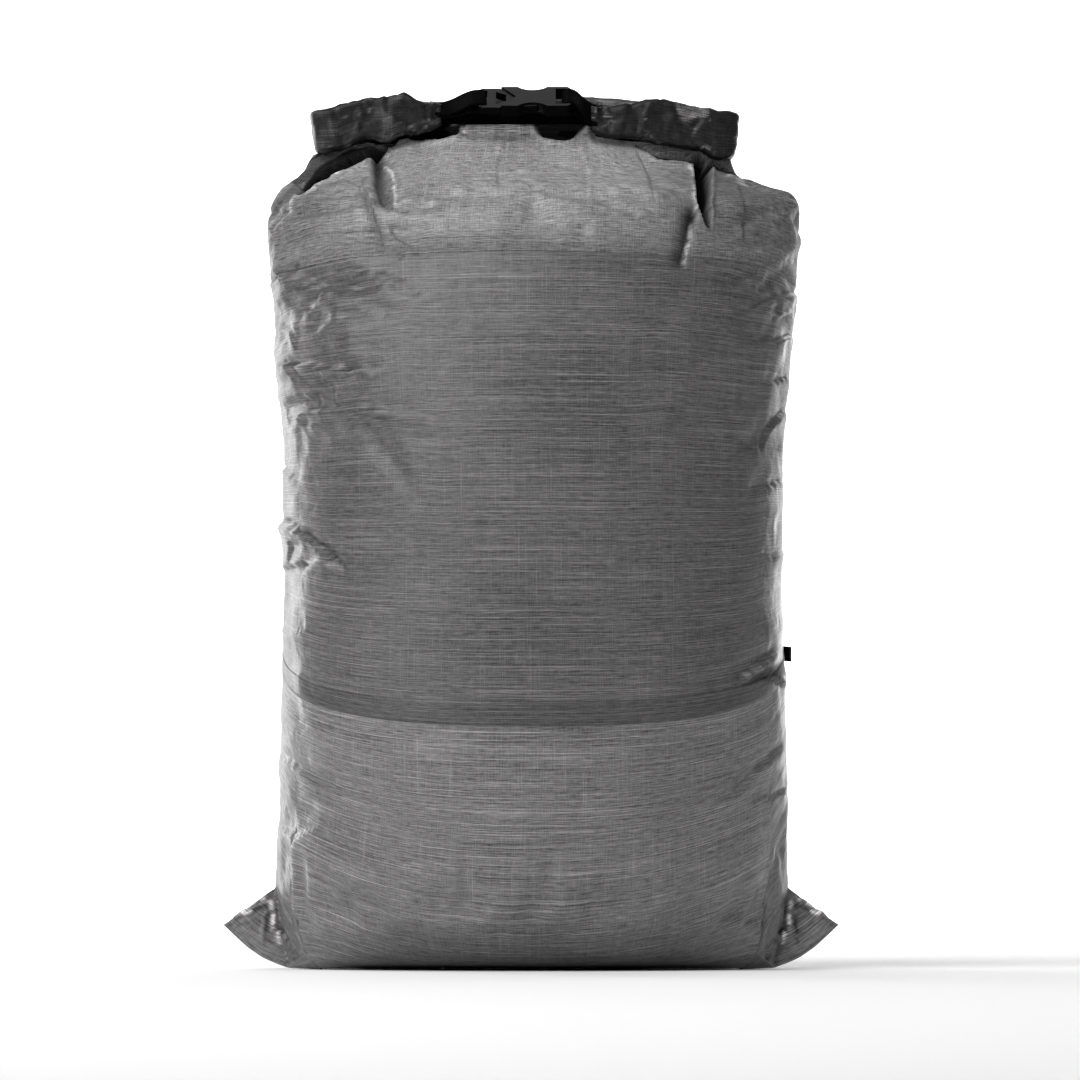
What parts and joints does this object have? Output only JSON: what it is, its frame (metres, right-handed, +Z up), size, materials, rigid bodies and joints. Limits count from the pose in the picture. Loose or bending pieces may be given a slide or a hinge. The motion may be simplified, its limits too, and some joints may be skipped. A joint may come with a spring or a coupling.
{
  "type": "roll-top dry bag",
  "caption": "Roll-top dry bag of grey composite film fabric, rolled shut, with the roll's ends folded forward and joined by a side-release buckle.",
  "frame": {"origin": "on the ground, under the middle of the standing bag", "axes": "+Z up the bag; -Y out of its front, the side that the roll's ends and the buckle are on; +X to the right as seen from the front"},
  "size_m": [0.287, 0.181, 0.4126],
  "materials": {
    "body_fabric": "semi-gloss laminated composite film fabric with fine crossing fibres, creased",
    "collar_fabric": "the same film fabric in many rolled layers, darker and closely creased",
    "seam_tape": "bonded film tape, semi-gloss",
    "webbing": "matt woven nylon webbing",
    "thread": "matt sewing thread",
    "buckle_plastic": "moulded acetal, fine satin texture"
  },
  "bodies": {
    "bag": {"base_panel": "body_fabric", "front_panel": "body_fabric", "back_panel": "body_fabric", "front_collar_panel": "body_fabric", "back_collar_panel": "body_fabric", "girth_seam_tape": "seam_tape", "collar_seam_tape": "seam_tape", "left_side_seam_tape": "seam_tape", "right_side_seam_tape": "seam_tape", "bottom_seam_tape": "seam_tape"},
    "closure": {"rolled_collar": "collar_fabric", "hem_webbing": "webbing", "right_roll_end": "collar_fabric", "right_bartack": "thread"},
    "left_end": {"left_roll_end": "collar_fabric", "left_bartack": "thread"},
    "buckle_socket": {"buckle_female": "buckle_plastic", "right_webbing": "webbing"},
    "buckle_plug": {"buckle_male": "buckle_plastic", "left_webbing": "webbing"},
    "front_prong": {"prong_front": "buckle_plastic"},
    "rear_prong": {"prong_rear": "buckle_plastic"},
    "left_corner": {"left_ear": "body_fabric"},
    "right_corner": {"right_ear": "body_fabric"},
    "tab": {"side_tab": "webbing", "side_tab_bartack": "thread"}
  },
  "joints": [
    {"name": "closure_tilt", "type": "hinge", "parent": "bag", "child": "closure", "pos_m": [0, 0, 0.375], "axis": [1, 0, 0], "range_deg": [-35, 25]},
    {"name": "buckle_release", "type": "slide", "parent": "closure", "child": "left_end", "axis": [-1, 0, 0], "range_m": [0, 0.017]},
    {"name": "socket_swing", "type": "hinge", "parent": "closure", "child": "buckle_socket", "pos_m": [-0.003, -0.014, 0.4048], "axis": [1, 0, 0], "range_deg": [-12, 45]},
    {"name": "plug_swing", "type": "hinge", "parent": "left_end", "child": "buckle_plug", "pos_m": [-0.003, -0.014, 0.4048], "axis": [1, 0, 0], "range_deg": [-12, 45]},
    {"name": "front_prong_press", "type": "hinge", "parent": "buckle_plug", "child": "front_prong", "pos_m": [-0.0105, -0.01937, 0.40131], "axis": [0, -0.5446, 0.8387], "range_deg": [0, 7], "stiffness_Nm_per_rad": 0.05, "springref_deg": -2.86},
    {"name": "rear_prong_press", "type": "hinge", "parent": "buckle_plug", "child": "rear_prong", "pos_m": [-0.0105, -0.00863, 0.40829], "axis": [0, 0.5446, -0.8387], "range_deg": [0, 7], "stiffness_Nm_per_rad": 0.05, "springref_deg": -2.86},
    {"name": "left_ear_fold", "type": "hinge", "parent": "bag", "child": "left_corner", "pos_m": [-0.11825, 0, 0.0196], "axis": [-0.1739, 0, 0.9848], "range_deg": [-60, 60]},
    {"name": "right_ear_fold", "type": "hinge", "parent": "bag", "child": "right_corner", "pos_m": [0.11825, 0, 0.0196], "axis": [-0.1739, 0, -0.9848], "range_deg": [-60, 60]},
    {"name": "side_tab_swing", "type": "hinge", "parent": "bag", "child": "tab", "pos_m": [0.1194, 0, 0.147], "axis": [0, 0, 1], "range_deg": [-60, 60]}
  ],
  "couplings": [
    {"joint": "plug_swing", "follows": "socket_swing", "ratio": 1},
    {"joint": "rear_prong_press", "follows": "front_prong_press", "ratio": 1}
  ]
}
